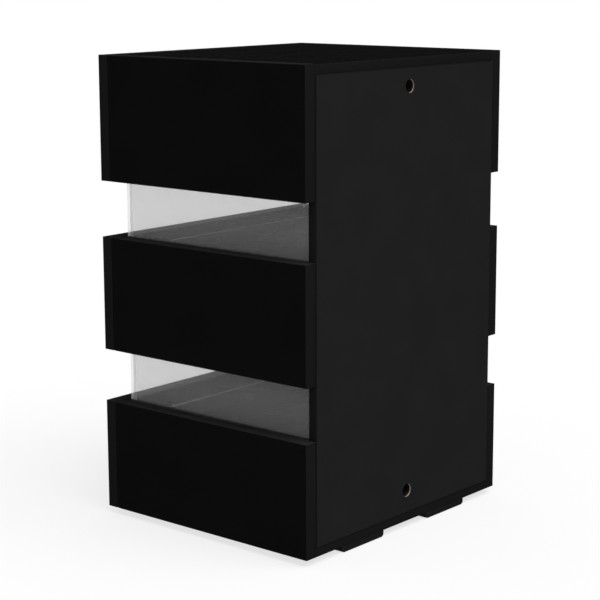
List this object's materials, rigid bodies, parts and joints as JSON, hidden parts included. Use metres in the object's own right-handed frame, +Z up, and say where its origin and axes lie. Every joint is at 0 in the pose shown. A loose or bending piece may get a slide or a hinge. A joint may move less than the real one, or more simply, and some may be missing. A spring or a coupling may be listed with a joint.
{
  "type": "nightstand with drawers",
  "caption": "Upright black nightstand: handleless drawer units stacked with set-back glass-walled gaps between them, a full-height back panel with cable holes, and low feet.",
  "frame": {"origin": "on the floor, under the middle of the body (centre of the bounding box's base)", "axes": "+Z up, the drawer fronts face -Y and open towards -Y, the back panel faces +Y, +X is the right side as seen from the front"},
  "size_m": [0.401, 0.347, 0.609],
  "materials": {
    "gloss_board": "chipboard with black high-gloss face foil",
    "carcass_board": "chipboard faced with satin black melamine",
    "back_board": "fibreboard faced with matt charcoal melamine",
    "drawer_board": "chipboard faced with matt charcoal melamine",
    "drawer_bottom_board": "painted hardboard",
    "glass_pane": "clear float glass with ground edges",
    "light_diffuser": "smoked frosted polycarbonate",
    "foot_plastic": "moulded black polypropylene",
    "runner_steel": "zinc-plated sheet steel",
    "cage_steel": "bright steel cage and balls",
    "cam_zinc": "die-cast zinc"
  },
  "bodies": {
    "carcass": {"top_board": "carcass_board", "top_unit_floor": "carcass_board", "middle_unit_roof": "carcass_board", "middle_unit_floor": "carcass_board", "bottom_unit_roof": "carcass_board", "base_board": "carcass_board", "top_unit_left_side": "gloss_board", "top_unit_right_side": "gloss_board", "middle_unit_left_side": "gloss_board", "middle_unit_right_side": "gloss_board", "bottom_unit_left_side": "gloss_board", "bottom_unit_right_side": "gloss_board", "back_panel": "back_board", "upper_front_glass": "glass_pane", "upper_left_glass": "glass_pane", "upper_right_glass": "glass_pane", "lower_front_glass": "glass_pane", "lower_left_glass": "glass_pane", "lower_right_glass": "glass_pane", "upper_light_bar": "light_diffuser", "lower_light_bar": "light_diffuser", "front_left_foot": "foot_plastic", "front_right_foot": "foot_plastic", "back_left_foot": "foot_plastic", "back_right_foot": "foot_plastic", "top_left_cabinet_runner": "runner_steel", "top_right_cabinet_runner": "runner_steel", "middle_left_cabinet_runner": "runner_steel", "middle_right_cabinet_runner": "runner_steel", "bottom_left_cabinet_runner": "runner_steel", "bottom_right_cabinet_runner": "runner_steel", "cam_locks": "cam_zinc"},
    "top_drawer": {"top_drawer_front": "gloss_board", "top_drawer_left_side": "drawer_board", "top_drawer_right_side": "drawer_board", "top_drawer_back": "drawer_board", "top_drawer_bottom": "drawer_bottom_board", "top_left_drawer_runner": "runner_steel", "top_right_drawer_runner": "runner_steel", "top_drawer_cams": "cam_zinc"},
    "middle_drawer": {"middle_drawer_front": "gloss_board", "middle_drawer_left_side": "drawer_board", "middle_drawer_right_side": "drawer_board", "middle_drawer_back": "drawer_board", "middle_drawer_bottom": "drawer_bottom_board", "middle_left_drawer_runner": "runner_steel", "middle_right_drawer_runner": "runner_steel", "middle_drawer_cams": "cam_zinc"},
    "bottom_drawer": {"bottom_drawer_front": "gloss_board", "bottom_drawer_left_side": "drawer_board", "bottom_drawer_right_side": "drawer_board", "bottom_drawer_back": "drawer_board", "bottom_drawer_bottom": "drawer_bottom_board", "bottom_left_drawer_runner": "runner_steel", "bottom_right_drawer_runner": "runner_steel", "bottom_drawer_cams": "cam_zinc"},
    "top_ball_cages": {"top_ball_cages": "cage_steel"},
    "middle_ball_cages": {"middle_ball_cages": "cage_steel"},
    "bottom_ball_cages": {"bottom_ball_cages": "cage_steel"}
  },
  "joints": [
    {"name": "top_drawer_slide", "type": "slide", "parent": "carcass", "child": "top_drawer", "axis": [0, -1, 0], "range_m": [0, 0.22]},
    {"name": "middle_drawer_slide", "type": "slide", "parent": "carcass", "child": "middle_drawer", "axis": [0, -1, 0], "range_m": [0, 0.22]},
    {"name": "bottom_drawer_slide", "type": "slide", "parent": "carcass", "child": "bottom_drawer", "axis": [0, -1, 0], "range_m": [0, 0.22]},
    {"name": "top_ball_cage_slide", "type": "slide", "parent": "carcass", "child": "top_ball_cages", "axis": [0, -1, 0], "range_m": [0, 0.11]},
    {"name": "middle_ball_cage_slide", "type": "slide", "parent": "carcass", "child": "middle_ball_cages", "axis": [0, -1, 0], "range_m": [0, 0.11]},
    {"name": "bottom_ball_cage_slide", "type": "slide", "parent": "carcass", "child": "bottom_ball_cages", "axis": [0, -1, 0], "range_m": [0, 0.11]}
  ],
  "couplings": [
    {"joint": "top_ball_cage_slide", "follows": "top_drawer_slide", "ratio": 0.5},
    {"joint": "middle_ball_cage_slide", "follows": "middle_drawer_slide", "ratio": 0.5},
    {"joint": "bottom_ball_cage_slide", "follows": "bottom_drawer_slide", "ratio": 0.5}
  ]
}
